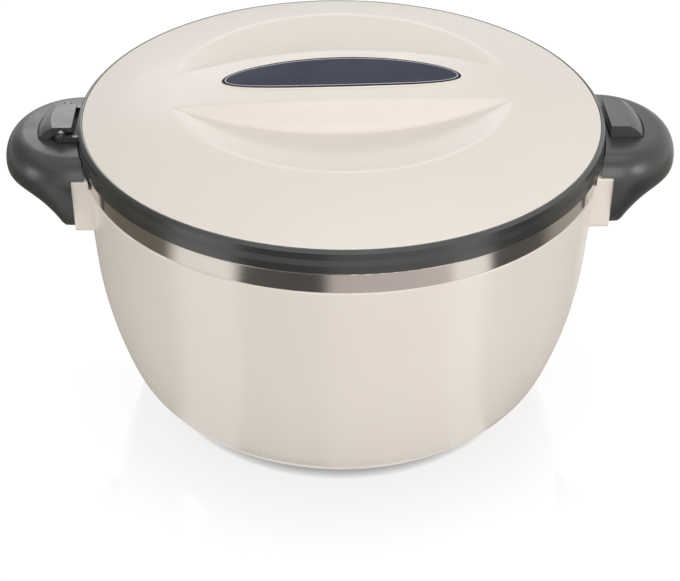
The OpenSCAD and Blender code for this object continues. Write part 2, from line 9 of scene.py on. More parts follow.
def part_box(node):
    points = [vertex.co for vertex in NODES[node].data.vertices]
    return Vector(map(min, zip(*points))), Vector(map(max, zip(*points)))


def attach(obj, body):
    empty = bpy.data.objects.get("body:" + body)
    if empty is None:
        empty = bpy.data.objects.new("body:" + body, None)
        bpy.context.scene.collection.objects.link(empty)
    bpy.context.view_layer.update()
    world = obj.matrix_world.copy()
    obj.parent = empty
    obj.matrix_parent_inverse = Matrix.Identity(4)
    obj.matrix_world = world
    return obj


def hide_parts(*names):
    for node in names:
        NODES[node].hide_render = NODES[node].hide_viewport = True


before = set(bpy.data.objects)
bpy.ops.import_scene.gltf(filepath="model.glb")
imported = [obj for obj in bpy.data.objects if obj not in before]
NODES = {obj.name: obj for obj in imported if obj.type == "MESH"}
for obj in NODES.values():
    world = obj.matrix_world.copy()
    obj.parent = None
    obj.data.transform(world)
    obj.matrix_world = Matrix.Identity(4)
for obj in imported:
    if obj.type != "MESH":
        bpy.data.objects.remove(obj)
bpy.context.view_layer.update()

MM = 0.001


# Camera: its place round and above the aim, and where it looks from there
CAMERA_AIM = Vector((0, 0, 170 * MM))
CAMERA_REACH = 850 * MM
CAMERA_RISE = math.radians(28.14)
CAMERA_SIDE = math.radians(-1.70)
CAMERA_CLIP = 10 * MM
VIEW_DROP = math.radians(34.7)
VIEW_SIDE = math.radians(-1.69)
VIEW_ROLL = math.radians(0.465)
LENS_MM = 83.54
SENSOR_MM = 36


def make_camera():
    data = bpy.data.cameras.new("camera")
    data.sensor_width = SENSOR_MM
    data.lens = LENS_MM
    data.clip_start = CAMERA_CLIP
    camera = bpy.data.objects.new("camera", data)
    bpy.context.collection.objects.link(camera)
    back = Vector((math.sin(CAMERA_SIDE), -math.cos(CAMERA_SIDE), math.tan(CAMERA_RISE)))
    place = CAMERA_AIM + back * CAMERA_REACH * math.cos(CAMERA_RISE)
    forward = Vector((-math.sin(VIEW_SIDE), math.cos(VIEW_SIDE), -math.tan(VIEW_DROP))).normalized()
    right = forward.cross(Vector((0, 0, 1))).normalized()
    up = right.cross(forward)
    rolled_right = right * math.cos(VIEW_ROLL) + up * math.sin(VIEW_ROLL)
    rolled_up = up * math.cos(VIEW_ROLL) - right * math.sin(VIEW_ROLL)
    turn = Matrix((rolled_right, rolled_up, -forward)).transposed()
    camera.matrix_world = Matrix.Translation(place) @ turn.to_4x4()
    bpy.context.scene.camera = camera


# Node trees
class Graph:
    """The node tree of a material or of the world, under construction."""

    def __init__(self, owner, bare=False):
        owner.use_nodes = True
        self.tree = owner.node_tree
        if bare:
            self.tree.nodes.clear()

    def link(self, source, target):
        self.tree.links.new(source, target)

    def add(self, kind, inputs=None, **settings):
        """A new node, with inputs fed by another node's output or set to a fixed value."""
        node = self.tree.nodes.new(kind)
        for key, value in settings.items():
            setattr(node, key, value)
        for key, value in (inputs or {}).items():
            if isinstance(value, bpy.types.NodeSocket):
                self.link(value, node.inputs[key])
            else:
                node.inputs[key].default_value = value
        return node

    def maths(self, operation, first, second):
        return self.add("ShaderNodeMath", {0: first, 1: second}, operation=operation).outputs[0]

    def length(self, vector):
        node = self.add("ShaderNodeVectorMath", {0: vector}, operation="LENGTH")
        return node.outputs["Value"]

    def rescale(self, value, start, end, low, high, **settings):
        """Turns start to end into low to high, and stays within them."""
        ends = {"From Min": start, "From Max": end, "To Min": low, "To Max": high}
        node = self.add("ShaderNodeMapRange", {"Value": value, **ends}, **settings)
        return node.outputs["Result"]

    def blend(self, factor, first, second):
        """A colour between two others."""
        parts = {"Factor": factor, "A": first, "B": second}
        return self.add("ShaderNodeMix", parts, data_type="RGBA").outputs["Result"]

    def mix(self, factor, first, second):
        """A shader between two others."""
        parts = {"Fac": factor, 1: first.outputs[0], 2: second.outputs[0]}
        return self.add("ShaderNodeMixShader", parts)

    def any_ray(self, first, *others):
        """1 for the kinds of ray named by these outputs of the light path, 0 for all others."""
        path = self.add("ShaderNodeLightPath")
        seen = path.outputs[first]
        for kind in others:
            seen = self.maths("MAXIMUM", seen, path.outputs[kind])
        return seen


# Looks of the pot. Spreads are shares of a metal's roughness, and the noise runs low to high
NOISE_DETAIL = 2.0
NOISE_LOW = 0.35
NOISE_HIGH = 0.65
TOOL_MARK = 0.01 * MM
SPUN_SHEEN = 0.3
SPUN_SPREAD = (0.7, 1.4)
PLATED_SPREAD = (0.8, 1.3)
FOAM_ROUGH = (0.8, 0.95)


def linear(r, g, b):
    """An sRGB colour given in 0 to 255, as Blender's linear colour."""
    def channel(value):
        value /= 255
        return value / 12.92 if value <= 0.04045 else ((value + 0.055) / 1.055) ** 2.4
    return (channel(r), channel(g), channel(b), 1.0)


class Look(Graph):
    """A material of the pot, worked out over each piece's own coordinates."""

    def __init__(self, name, metallic=0.0):
        self.material = bpy.data.materials.new(name)
        super().__init__(self.material)
        self.shader = self.tree.nodes["Principled BSDF"]
        self.shader.inputs["Metallic"].default_value = metallic
        self.place = self.add("ShaderNodeTexCoord").outputs["Object"]

    def noise(self, scale, detail=NOISE_DETAIL, place=None):
        """Soft noise with about this many waves in a metre."""
        parts = {"Scale": scale, "Detail": detail, "Vector": place or self.place}
        return self.add("ShaderNodeTexNoise", parts).outputs["Fac"]

    def colour(self, noise, first, second):
        cloud = self.blend(noise, linear(*first), linear(*second))
        self.link(cloud, self.shader.inputs["Base Color"])

    def roughness(self, noise, low, high):
        cloud = self.rescale(noise, NOISE_LOW, NOISE_HIGH, low, high)
        self.link(cloud, self.shader.inputs["Roughness"])

    def bump(self, height, depth):
        node = self.add("ShaderNodeBump", {"Strength": 1.0, "Distance": depth, "Height": height})
        self.link(node.outputs["Normal"], self.shader.inputs["Normal"])


def plastic(name, colour, shade, rough, grain_mm, grain_depth_mm, spread=0.04, shine=0.5):
    """Moulded plastic: slight cloudiness of colour and gloss, and a fine moulded grain."""
    look = Look(name)
    look.shader.inputs["Specular IOR Level"].default_value = shine
    look.colour(look.noise(scale=14, detail=3), colour, shade)
    look.roughness(look.noise(scale=60), rough - spread, rough + spread)
    look.bump(look.noise(scale=1 / (grain_mm * MM)), grain_depth_mm * MM)
    return look.material


def steel(name, colour, shade, rough, line_mm=0.5):
    """Spun steel: fine lines run round the axis of the pot."""
    look = Look(name, metallic=1.0)
    look.shader.inputs["Anisotropic"].default_value = SPUN_SHEEN
    split = look.add("ShaderNodeSeparateXYZ", {"Vector": look.place})
    flat = look.add("ShaderNodeVectorMath", {0: look.place, 1: (1, 1, 0)}, operation="MULTIPLY")
    radius = look.length(flat.outputs["Vector"])
    lines = look.add("ShaderNodeCombineXYZ", {"X": radius, "Z": split.outputs["Z"]})
    streaks = look.noise(scale=1 / (line_mm * MM), detail=3, place=lines.outputs["Vector"])
    look.colour(look.noise(scale=30), colour, shade)
    look.roughness(streaks, rough * SPUN_SPREAD[0], rough * SPUN_SPREAD[1])
    look.bump(streaks, TOOL_MARK)
    return look.material


def metal(name, colour, shade, rough):
    """Small plated or drawn metal piece."""
    look = Look(name, metallic=1.0)
    look.colour(look.noise(scale=400), colour, shade)
    look.roughness(look.noise(scale=900), rough * PLATED_SPREAD[0], rough * PLATED_SPREAD[1])
    look.bump(look.noise(scale=2500), TOOL_MARK)
    return look.material


def foam(name, colour, shade, cell_depth_mm):
    """Rigid insulating foam: blotchy colour and open cells."""
    look = Look(name)
    look.colour(look.noise(scale=220, detail=6), colour, shade)
    look.roughness(look.noise(scale=300), *FOAM_ROUGH)
    look.bump(look.noise(scale=900, detail=4), cell_depth_mm * MM)
    return look.material


CREAM_LID = plastic("cream_lid", (232, 224, 215), (229, 220, 210), 0.34, 0.9, 0.004, shine=0.3)
# A glossier, slightly lighter copy of the lid's cream: its gloss is real, its lighter colour is a
# painted highlight, the white hairline on the lid's edge and along the nameplate's rim.
CREAM_PAINTED_HIGHLIGHT = plastic("cream_painted_highlight", (236, 230, 222), (234, 227, 218), 0.14, 0.9, 0.002, 0.02, 1.0)
CREAM_BODY = plastic("cream_body", (224, 215, 205), (221, 211, 200), 0.22, 0.9, 0.004, 0.02, 0.9)
CREAM_BASE = plastic("cream_base", (205, 197, 187), (196, 188, 178), 0.55, 0.6, 0.02)
CHARCOAL = plastic("charcoal", (48, 48, 48), (44, 44, 44), 0.33, 0.35, 0.008, shine=0.65)
CHARCOAL_RING = plastic("charcoal_ring", (46, 47, 46), (43, 44, 43), 0.24, 0.35, 0.004, shine=0.9)
CHARCOAL_BLOCK = plastic("charcoal_block", (62, 62, 60), (58, 58, 56), 0.28, 0.35, 0.006, shine=0.8)
RUBBER = plastic("rubber", (52, 52, 52), (44, 44, 44), 0.7, 0.4, 0.02)
SILICONE = plastic("silicone", (228, 228, 224), (216, 216, 212), 0.45, 0.8, 0.01)
STEEL = steel("steel", (218, 212, 206), (206, 200, 194), 0.13)
STEEL_PIN = metal("steel_pin", (112, 111, 109), (98, 97, 95), 0.34)
ZINC = metal("zinc", (196, 196, 194), (176, 176, 172), 0.32)
FOAM = foam("foam", (236, 218, 160), (214, 190, 126), 0.4)
ENAMEL = plastic("enamel", (58, 61, 76), (54, 57, 71), 0.6, 0.5, 0.004, shine=0.1)
ENAMEL_DARK = plastic("enamel_dark", (36, 38, 48), (33, 35, 44), 0.6, 0.5, 0.004, shine=0.1)
PALE_LINE = plastic("pale_line", (214, 214, 216), (204, 204, 206), 0.35, 0.5, 0.004)

FINISHES = {
    "outer_shell": CREAM_BODY, "inner_pan": STEEL, "body_foam": FOAM, "base_cap": CREAM_BASE,
    "foot_ring": RUBBER, "base_screws": ZINC, "left_handle": CHARCOAL, "right_handle": CHARCOAL,
    "handle_screws": ZINC, "hinge_block": CHARCOAL_BLOCK, "hinge_screws": ZINC,
    "hinge_pin": STEEL_PIN, "latch_button": CHARCOAL_BLOCK, "latch_spring": STEEL_PIN,
    "latch_screw": ZINC, "lid_shell": CREAM_LID, "lid_ring": CHARCOAL_RING, "lid_liner": STEEL,
    "lid_foam": FOAM, "lid_gasket": SILICONE, "nameplate": ENAMEL, "latch_tongue": CHARCOAL_RING,
}


def dress_frame():
    """Gives every CAD node its finish."""
    for name, finish in FINISHES.items():
        mesh = NODES[name].data
        mesh.materials.clear()
        mesh.materials.append(finish)


BEVEL_WIDTH = 0.6 * MM
BEVEL_STEPS = 3
BEVEL_ANGLE = math.radians(35)


def soften(name):
    """Rounds the sharp edges of a CAD node a little, as a mould does."""
    bevel = NODES[name].modifiers.new("soft edges", "BEVEL")
    bevel.width = BEVEL_WIDTH
    bevel.segments = BEVEL_STEPS
    bevel.limit_method = "ANGLE"
    bevel.angle_limit = BEVEL_ANGLE
    bevel.harden_normals = True


# Mesh helpers
def new_piece(name, vertices, faces, finishes, body=None):
    """A smooth piece of the pot, or a cutter where it rides no body."""
    mesh = bpy.data.meshes.new(name)
    mesh.from_pydata([tuple(v) for v in vertices], [], faces)
    mesh.validate()
    for polygon in mesh.polygons:
        polygon.use_smooth = True
    for finish in finishes:
        mesh.materials.append(finish)
    piece = bpy.data.objects.new(name, mesh)
    bpy.context.collection.objects.link(piece)
    if body:
        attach(piece, body)
    return piece


def ring_faces(rows, columns):
    """Quads between rows of points that each go once round."""
    return [(r * columns + c, r * columns + (c + 1) % columns,
             (r + 1) * columns + (c + 1) % columns, (r + 1) * columns + c)
            for r in range(rows - 1) for c in range(columns)]


def around(angles, radius, height):
    """Points or directions that go once round, at one radius and one height."""
    return np.stack([radius * np.cos(angles), radius * np.sin(angles),
                     np.full(len(angles), height)], 1)


# Lid dome: crown arc, shoulder arc, two finger scoops and the grip bar between them
LID_LOW, LID_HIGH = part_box("lid_shell")
LID_SPREAD = 0.25 * MM
LID_SINK = 0.1 * MM
LID_R = LID_HIGH.x + LID_SPREAD
LID_EDGE_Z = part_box("lid_ring")[1].z - LID_SINK
LID_FOOT = LID_LOW.z
CROWN_Z = LID_HIGH.z
CROWN_R = 480 * MM
SCOOP_R = 90 * MM
SCOOP_BLEND = 5 * MM
SCOOP_EDGE = 1.2 * MM
FLOOR_R = 394 * MM
BAR_HALF = 28.6 * MM
BAR_BOW = 310 * MM
BAR_SLOPE = math.radians(20)
BAR_TURN = math.radians(2.5)
LID_WALL = 2.2 * MM

# How finely the lid is drawn
LID_COLUMNS = 512
FINE_STEP_MM = 0.8
FINE_REACH_MM = 96
COARSE_STEP_MM = 1.6
INSIDE_RADII_MM = (134, 120, 105, 90, 60, 30, 2)
EDGE_ROUND = 0.8 * MM
EDGE_ROWS = 8
SLOPE_STEP = 0.05 * MM


def soft_min(a, b, reach):
    """The lower of two heights, blended where they are less than reach apart."""
    near = np.maximum(reach - np.abs(a - b), 0) / reach
    return np.minimum(a, b) - near * near * reach / 4


def soft_max(a, b, reach):
    return -soft_min(-a, -b, reach)


def crown_height(r):
    """Height of the crown's arc at a distance r from the axis."""
    return CROWN_Z - CROWN_R + np.sqrt(CROWN_R ** 2 - r ** 2)


def shoulder_arc():
    """Radius and centre of the arc that leaves the crown arc at the scoops' edge."""
    tilt = math.asin(SCOOP_R / CROWN_R)
    top = crown_height(SCOOP_R)
    drop, run = top - LID_EDGE_Z, LID_R - SCOOP_R
    radius = (run ** 2 + drop ** 2) / (2 * (drop * math.cos(tilt) - run * math.sin(tilt)))
    return radius, SCOOP_R - radius * math.sin(tilt), top - radius * math.cos(tilt)


def dome_height(r):
    """Height of the dome at a distance r from the axis, as if nothing were scooped out."""
    radius, x, z = shoulder_arc()
    crown = crown_height(np.minimum(r, SCOOP_R))
    shoulder = z + np.sqrt(np.maximum(radius ** 2 - (np.maximum(r, SCOOP_R) - x) ** 2, 0))
    return np.where(r < SCOOP_R, crown, shoulder)


def floor_height(r):
    """Height of the shallow sphere that scoops out the finger recesses."""
    centre = crown_height(SCOOP_R) + math.sqrt(FLOOR_R ** 2 - SCOOP_R ** 2)
    return centre - np.sqrt(FLOOR_R ** 2 - r ** 2)


def lid_height(x, y):
    """Height of the lid's outside over the point x, y."""
    along = x * math.cos(BAR_TURN) + y * math.sin(BAR_TURN)
    across = np.abs(y * math.cos(BAR_TURN) - x * math.sin(BAR_TURN))
    outside = np.hypot(along, across + BAR_BOW - BAR_HALF) - BAR_BOW
    wall = CROWN_Z - outside / math.tan(BAR_SLOPE)
    r = np.hypot(x, y)
    dome = dome_height(r)
    bar = soft_min(dome, wall, SCOOP_BLEND)
    dish = soft_max(floor_height(r), bar, SCOOP_BLEND)
    return soft_min(dome, dish, SCOOP_EDGE)


def lid_radii():
    """Distances from the axis of the rows over the dome, out to where the edge round starts."""
    radius, centre_x = shoulder_arc()[:2]
    last = LID_R - EDGE_ROUND * (1 - (LID_R - centre_x) / radius)
    fine = np.arange(FINE_STEP_MM, FINE_REACH_MM, FINE_STEP_MM)
    coarse = np.arange(FINE_REACH_MM, LID_R / MM, COARSE_STEP_MM)
    radii = np.concatenate([fine, coarse]) * MM
    return np.append(radii[radii < last - FINE_STEP_MM * MM], last)


def dome_row(r, angles):
    """Points once round the lid's outside, and the direction that it faces at each."""
    x, y = r * np.cos(angles), r * np.sin(angles)
    slope_x = (lid_height(x + SLOPE_STEP, y) - lid_height(x - SLOPE_STEP, y)) / (2 * SLOPE_STEP)
    slope_y = (lid_height(x, y + SLOPE_STEP) - lid_height(x, y - SLOPE_STEP)) / (2 * SLOPE_STEP)
    points = np.stack([x, y, lid_height(x, y)], 1)
    return points, np.stack([-slope_x, -slope_y, np.ones(len(angles))], 1)


def edge_profile(start_r):
    """Radius, height and turn of each row over the rounded edge, until it stands upright."""
    profile = []
    start_z = float(lid_height(start_r, 0.0))
    lean = math.atan2(float(dome_height(start_r - SLOPE_STEP)) - start_z, SLOPE_STEP)
    for k in range(1, EDGE_ROWS + 1):
        turn = lean + (math.pi / 2 - lean) * k / EDGE_ROWS
        r = start_r + EDGE_ROUND * (math.sin(turn) - math.sin(lean))
        z = start_z - EDGE_ROUND * (math.cos(lean) - math.cos(turn))
        profile.append((r, z, turn))
    return profile


def inside_profile(skirt_r):
    """Radius and height of each row from the skirt's foot inwards, one wall below the outside."""
    profile = [(skirt_r, LID_FOOT), (skirt_r - LID_WALL, LID_FOOT)]
    for radius_mm in INSIDE_RADII_MM:
        r = radius_mm * MM
        profile.append((r, float(min(dome_height(r), floor_height(r))) - LID_WALL))
    return profile


def make_lid():
    """The outside with its rounded edge, then the inside, closed to one solid."""
    angles = np.arange(LID_COLUMNS) * 2 * math.pi / LID_COLUMNS
    radii = lid_radii()
    edge = edge_profile(radii[-1])
    skirt_r = edge[-1][0]
    rows, normals = [], []
    for r in radii:
        points, directions = dome_row(r, angles)
        rows.append(points)
        normals.append(directions)
    for r, z, turn in edge:
        rows.append(around(angles, r, z))
        normals.append(around(angles, math.sin(turn), math.cos(turn)))
    for r, z in inside_profile(skirt_r):
        rows.append(around(angles, r, z))
        normals.append(np.zeros((LID_COLUMNS, 3)))
    apex = len(rows) * LID_COLUMNS
    last = apex - LID_COLUMNS
    vertices = np.concatenate(rows + [[(0.0, 0.0, float(lid_height(0.0, 0.0)))]])
    faces = [tuple(reversed(face)) for face in ring_faces(len(rows), LID_COLUMNS)]
    faces += [(apex, c, (c + 1) % LID_COLUMNS) for c in range(LID_COLUMNS)]
    faces.append(tuple(last + c for c in reversed(range(LID_COLUMNS))))
    piece = new_piece("lid_dome", vertices, faces, (CREAM_LID, CREAM_PAINTED_HIGHLIGHT), "lid")
    # The rows over the rounded edge take the lighter glossy cream: a painted highlight hairline
    # along the lid's edge, on top of its real gloss.
    edge_start = (len(radii) - 1) * LID_COLUMNS
    for polygon in piece.data.polygons[edge_start:edge_start + EDGE_ROWS * LID_COLUMNS]:
        polygon.material_index = 1
    wanted = np.concatenate(normals + [[(0.0, 0.0, 1.0)]])
    length = np.linalg.norm(wanted, axis=1, keepdims=True)
    wanted = np.divide(wanted, length, out=np.zeros_like(wanted), where=length > 0)
    piece.data.normals_split_custom_set_from_vertices([tuple(n) for n in wanted])
    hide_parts("lid_shell")


# Nameplate: an oval of enamelled metal with a border, a fine pale line and a bare field
PLATE_LONG = 63.5 * MM
PLATE_HALF = 17 * MM
PLATE_PROUD = 0.5 * MM

# The plate's rows: how deep its wall stands, its round edge, and insets of rim, border and line
PLATE_WALL_MM = 1.1
PLATE_ROUND_MM = 0.4
# The plate's outer wall, up to this inset, is in the lighter glossy cream: a painted highlight
# along the plate's edge.
HIGHLIGHT_RIM_MM = 0.05
BORDER_MM = 1.0
LINE_MM = (1.7, 2.2)
LINE_SIDE_MM = 0.05
LINE_DEPTH_MM = 0.06
FIELD_MM = (3.5, 5.5, 8, 11, 14, 16)
PLATE_COLUMNS = 256
PLATE_CREASE = math.radians(50)
PLATE_FINISHES = (ENAMEL_DARK, PALE_LINE, ENAMEL, CREAM_PAINTED_HIGHLIGHT)


def plate_profile():
    """Each row's inset from the oval's edge and rise over its face in mm, from the foot inwards."""
    line_start, line_end = LINE_MM
    profile = [(0.0, -PLATE_WALL_MM), (0.0, -PLATE_ROUND_MM)]
    profile += [(PLATE_ROUND_MM * (1 - math.cos(a)), PLATE_ROUND_MM * (math.sin(a) - 1))
                for a in map(math.radians, (30, 60, 90))]
    profile += [(BORDER_MM, 0.0), (line_start, 0.0), (line_start + LINE_SIDE_MM, -LINE_DEPTH_MM),
                (line_end - LINE_SIDE_MM, -LINE_DEPTH_MM), (line_end, 0.0)]
    return profile + [(inset, 0.0) for inset in FIELD_MM]


def plate_finish(inset):
    """What the plate is finished in from an inset inwards; its outer wall, within the first inset,
    takes the lighter glossy cream that paints a highlight line along the plate's edge.
    """
    if inset < HIGHLIGHT_RIM_MM:
        return CREAM_PAINTED_HIGHLIGHT
    if inset < LINE_MM[0]:
        return ENAMEL_DARK
    return PALE_LINE if inset < LINE_MM[1] else ENAMEL


def make_nameplate():
    profile = plate_profile()
    vertices = []
    for inset, rise in profile:
        for c in range(PLATE_COLUMNS):
            turn = 2 * math.pi * c / PLATE_COLUMNS
            along = (PLATE_LONG - inset * MM) * math.cos(turn)
            across = (PLATE_HALF - inset * MM) * math.sin(turn)
            x = along * math.cos(BAR_TURN) - across * math.sin(BAR_TURN)
            y = along * math.sin(BAR_TURN) + across * math.cos(BAR_TURN)
            vertices.append((x, y, crown_height(math.hypot(x, y)) + PLATE_PROUD + rise * MM))
    faces = ring_faces(len(profile), PLATE_COLUMNS)
    last = (len(profile) - 1) * PLATE_COLUMNS
    for c in range(PLATE_COLUMNS // 2):
        far = PLATE_COLUMNS - c
        corners = (last + c, last + c + 1, last + far - 1, last + far % PLATE_COLUMNS)
        faces.append(tuple(dict.fromkeys(corners)))
    faces.append(tuple(reversed(range(PLATE_COLUMNS))))
    piece = new_piece("nameplate_oval", vertices, faces, PLATE_FINISHES, "lid")
    for polygon in piece.data.polygons[:-1]:
        inset = profile[polygon.index // PLATE_COLUMNS][0]
        polygon.material_index = PLATE_FINISHES.index(plate_finish(inset))
    piece.data.set_sharp_from_angle(angle=PLATE_CREASE)
    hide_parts("nameplate")


# Handles: a crown, a belly and an arched foot
HANDLE_LOW, HANDLE_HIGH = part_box("right_handle")
SEAT_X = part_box("outer_shell")[1].x
EAR_REACH = HANDLE_HIGH.x - SEAT_X
EAR_HALF = HANDLE_HIGH.y
EAR_TOP = HANDLE_HIGH.z
EAR_FOOT = HANDLE_LOW.z
EAR_INNER_X = 128 * MM
BELLY_Z = 144.6 * MM
CROWN_REACH = 28.4 * MM
CROWN_HALF = 31.4 * MM
ARCH_TOP = 139.3 * MM
ARCH_START = 147.5 * MM
ARCH_POWER = 3.15
TUCK_SIDE = 5 * MM
TUCK_TIP = 1.3 * MM
EAR_CREASE = math.radians(40)
EAR_TURNS = [math.radians(a) for a in np.linspace(-90, 90, 65)]
UPPER_STEPS = 20
LOWER_STEPS = 16

# Blocks on the handles: the pockets follow the shape that they have in the frame
BLOCK_LOW, BLOCK_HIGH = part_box("latch_button")
BLOCK_PLAN_X = 110 * MM
BLOCK_ARC = 14.5 * MM
BLOCK_ARC_Z = 153.5 * MM
BLOCK_ARC_RISES = [k * MM for k in range(1, 10)]
BLOCK_ARC_POINTS = 25

# What is cut out of the handles
CUT_PAST = 10 * MM
OVERLAP = 0.01 * MM
ROUND_POINTS = 48
CORNER_STEP = 10
RING_GAP = 0.6 * MM
RING_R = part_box("lid_ring")[1].y + RING_GAP
RING_POINTS = 360
SEAT_GAP = 0.2 * MM
SEAT_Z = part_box("outer_shell")[1].z + SEAT_GAP
SEAT_INNER_X = 100 * MM
SEAT_HALF = 60 * MM
RECESS_X = (151 * MM, 173.5 * MM)
RECESS_HALF = 33 * MM
RECESS_TOP = 137.5 * MM
RECESS_ROUND = 6 * MM
BUTTON_GAP = 0.4 * MM
LATCH_SCREW_X = 155 * MM
LATCH_SCREW_BORE = 1.7 * MM
LATCH_SCREW_FLOOR = 1 * MM
TONGUE_X = (130 * MM, 144 * MM)
TONGUE_GAP = 1 * MM
TONGUE_DROP = 1 * MM
TONGUE_TOP = 155 * MM
HINGE_BLOCK_GAP = 0.15 * MM
HINGE_SCREW_X = 156 * MM
HINGE_SCREW_Y = 8 * MM
HINGE_SCREW_BORE = 3.3 * MM
HINGE_SCREW_TOP = 144 * MM


def low_edge(x):
    """Height of the handle's arched lower edge at a distance x from the middle of the pot."""
    share = min(max((x - ARCH_START) / (SEAT_X + EAR_REACH - TUCK_TIP - ARCH_START), 0), 1)
    return ARCH_TOP - (ARCH_TOP - EAR_FOOT) * (1 - share) ** ARCH_POWER


def ear_row(row, half, level):
    """A row of points round the ear, led back inside the pot on both sides."""
    return [(EAR_INNER_X, -half, level)] + row + [(EAR_INNER_X, half, level)]


def ear_points():
    """Rows of points over the ear, from the crown over the belly to the arched lower edge."""
    rows = []
    for k in range(UPPER_STEPS + 1):
        lean = math.pi / 2 * k / UPPER_STEPS
        out = math.sin(lean)
        reach = CROWN_REACH + (EAR_REACH - CROWN_REACH) * out
        half = CROWN_HALF + (EAR_HALF - CROWN_HALF) * out
        level = BELLY_Z + (EAR_TOP - BELLY_Z) * math.cos(lean)
        row = [(SEAT_X + reach * math.cos(a), half * math.sin(a), level) for a in EAR_TURNS]
        rows.append(ear_row(row, half, level))
    for k in range(1, LOWER_STEPS + 1):
        lean = math.pi / 2 * k / LOWER_STEPS
        inset, fall = 1 - math.cos(lean), math.sin(lean)
        half = EAR_HALF - TUCK_SIDE * inset
        row = []
        for a in EAR_TURNS:
            tuck = TUCK_SIDE + (TUCK_TIP - TUCK_SIDE) * math.cos(a)
            x = SEAT_X + (EAR_REACH - tuck * inset) * math.cos(a)
            row.append((x, half * math.sin(a), BELLY_Z - (BELLY_Z - low_edge(x)) * fall))
        rows.append(ear_row(row, half, BELLY_Z - (BELLY_Z - EAR_FOOT) * fall))
    return rows


def closed_ear():
    """The ear as a closed solid, with its top, its foot and its inner end."""
    rows = ear_points()
    columns = len(rows[0])
    last = (len(rows) - 1) * columns
    vertices = [point for row in rows for point in row]
    faces = [(start + c, start + columns + c, start + columns + c + 1, start + c + 1)
             for start in range(0, last, columns) for c in range(columns - 1)]
    faces.append(tuple(range(columns)))
    for c in range(columns // 2):
        far = columns - 1 - c
        corners = (last + c, last + far, last + far - 1, last + c + 1)
        faces.append(tuple(dict.fromkeys(corners)))
    starts = range(0, last + 1, columns)
    faces.append(tuple(reversed(starts)) + tuple(start + columns - 1 for start in starts))
    return vertices, faces


def loft(outlines, levels):
    """A closed solid through anticlockwise outlines of points in plan, from the lowest up."""
    count = len(outlines[0])
    vertices = [(x, y, z) for outline, z in zip(outlines, levels) for x, y in outline]
    top = (len(levels) - 1) * count
    faces = [tuple(reversed(range(count))), tuple(range(top, top + count))]
    faces += ring_faces(len(levels), count)
    return vertices, faces


def prism(outline, low, high):
    return loft([outline, outline], [low, high])


def round_plan(x, y, radius, count=ROUND_POINTS):
    return [(x + radius * math.cos(2 * math.pi * k / count),
             y + radius * math.sin(2 * math.pi * k / count)) for k in range(count)]


def box_plan(x0, x1, half):
    return [(x0, -half), (x1, -half), (x1, half), (x0, half)]


def soft_plan(x0, x1, half, radius):
    """A rectangle with round corners, in plan."""
    points = []
    for x, y, start in ((x1, half, 0), (x0, half, 90), (x0, -half, 180), (x1, -half, 270)):
        centre_x = x - radius if x == x1 else x + radius
        centre_y = y - radius if y > 0 else y + radius
        for turn in range(start, start + 91, CORNER_STEP):
            a = math.radians(turn)
            points.append((centre_x + radius * math.cos(a), centre_y + radius * math.sin(a)))
    return points


def block_plan(half, grow, drop):
    """A block's outline in plan: straight sides and a bowed outer end, drop inside its widest."""
    half += grow
    radius = BLOCK_HIGH.x - BLOCK_PLAN_X + grow - drop
    reach = math.asin(half / radius)
    arc = [(BLOCK_PLAN_X + radius * math.cos(a), radius * math.sin(a))
           for a in np.linspace(-reach, reach, BLOCK_ARC_POINTS)]
    return [(BLOCK_LOW.x - grow, -half)] + arc + [(BLOCK_LOW.x - grow, half)]


def block_pocket(half, grow, foot):
    """The pocket for a block, which follows the block's bulging outer face."""
    levels = [foot, BLOCK_ARC_Z] + [BLOCK_ARC_Z + rise for rise in BLOCK_ARC_RISES]
    arc = BLOCK_ARC + grow
    drops = [0.0, 0.0] + [arc - math.sqrt(arc ** 2 - rise ** 2) for rise in BLOCK_ARC_RISES]
    return loft([block_plan(half, grow, drop) for drop in drops], levels)


def ear_cutters(name):
    """Room for the lid's ring and the bowl, the finger recess, and the pockets of one handle."""
    tall = EAR_TOP + CUT_PAST
    low = EAR_FOOT - CUT_PAST
    cutters = [prism(round_plan(0, 0, RING_R, RING_POINTS), SEAT_Z, tall),
               prism(box_plan(SEAT_INNER_X, SEAT_X, SEAT_HALF), low, SEAT_Z + OVERLAP),
               prism(soft_plan(*RECESS_X, RECESS_HALF, RECESS_ROUND), low, RECESS_TOP)]
    if name == "right_handle":
        pocket_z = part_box("latch_spring")[0].z
        window = box_plan(*TONGUE_X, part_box("latch_tongue")[1].y + TONGUE_GAP)
        bore = round_plan(LATCH_SCREW_X, 0, LATCH_SCREW_BORE)
        cutters.append(block_pocket(BLOCK_HIGH.y, BUTTON_GAP, pocket_z))
        cutters.append(prism(bore, low, pocket_z + LATCH_SCREW_FLOOR))
        cutters.append(prism(window, SEAT_Z - TONGUE_DROP, TONGUE_TOP))
        return cutters
    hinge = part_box("hinge_block")
    cutters.append(block_pocket(hinge[1].y, HINGE_BLOCK_GAP, hinge[0].z))
    for screw_y in (-HINGE_SCREW_Y, HINGE_SCREW_Y):
        bore = round_plan(HINGE_SCREW_X, screw_y, HINGE_SCREW_BORE)
        cutters.append(prism(bore, low, HINGE_SCREW_TOP))
    return cutters


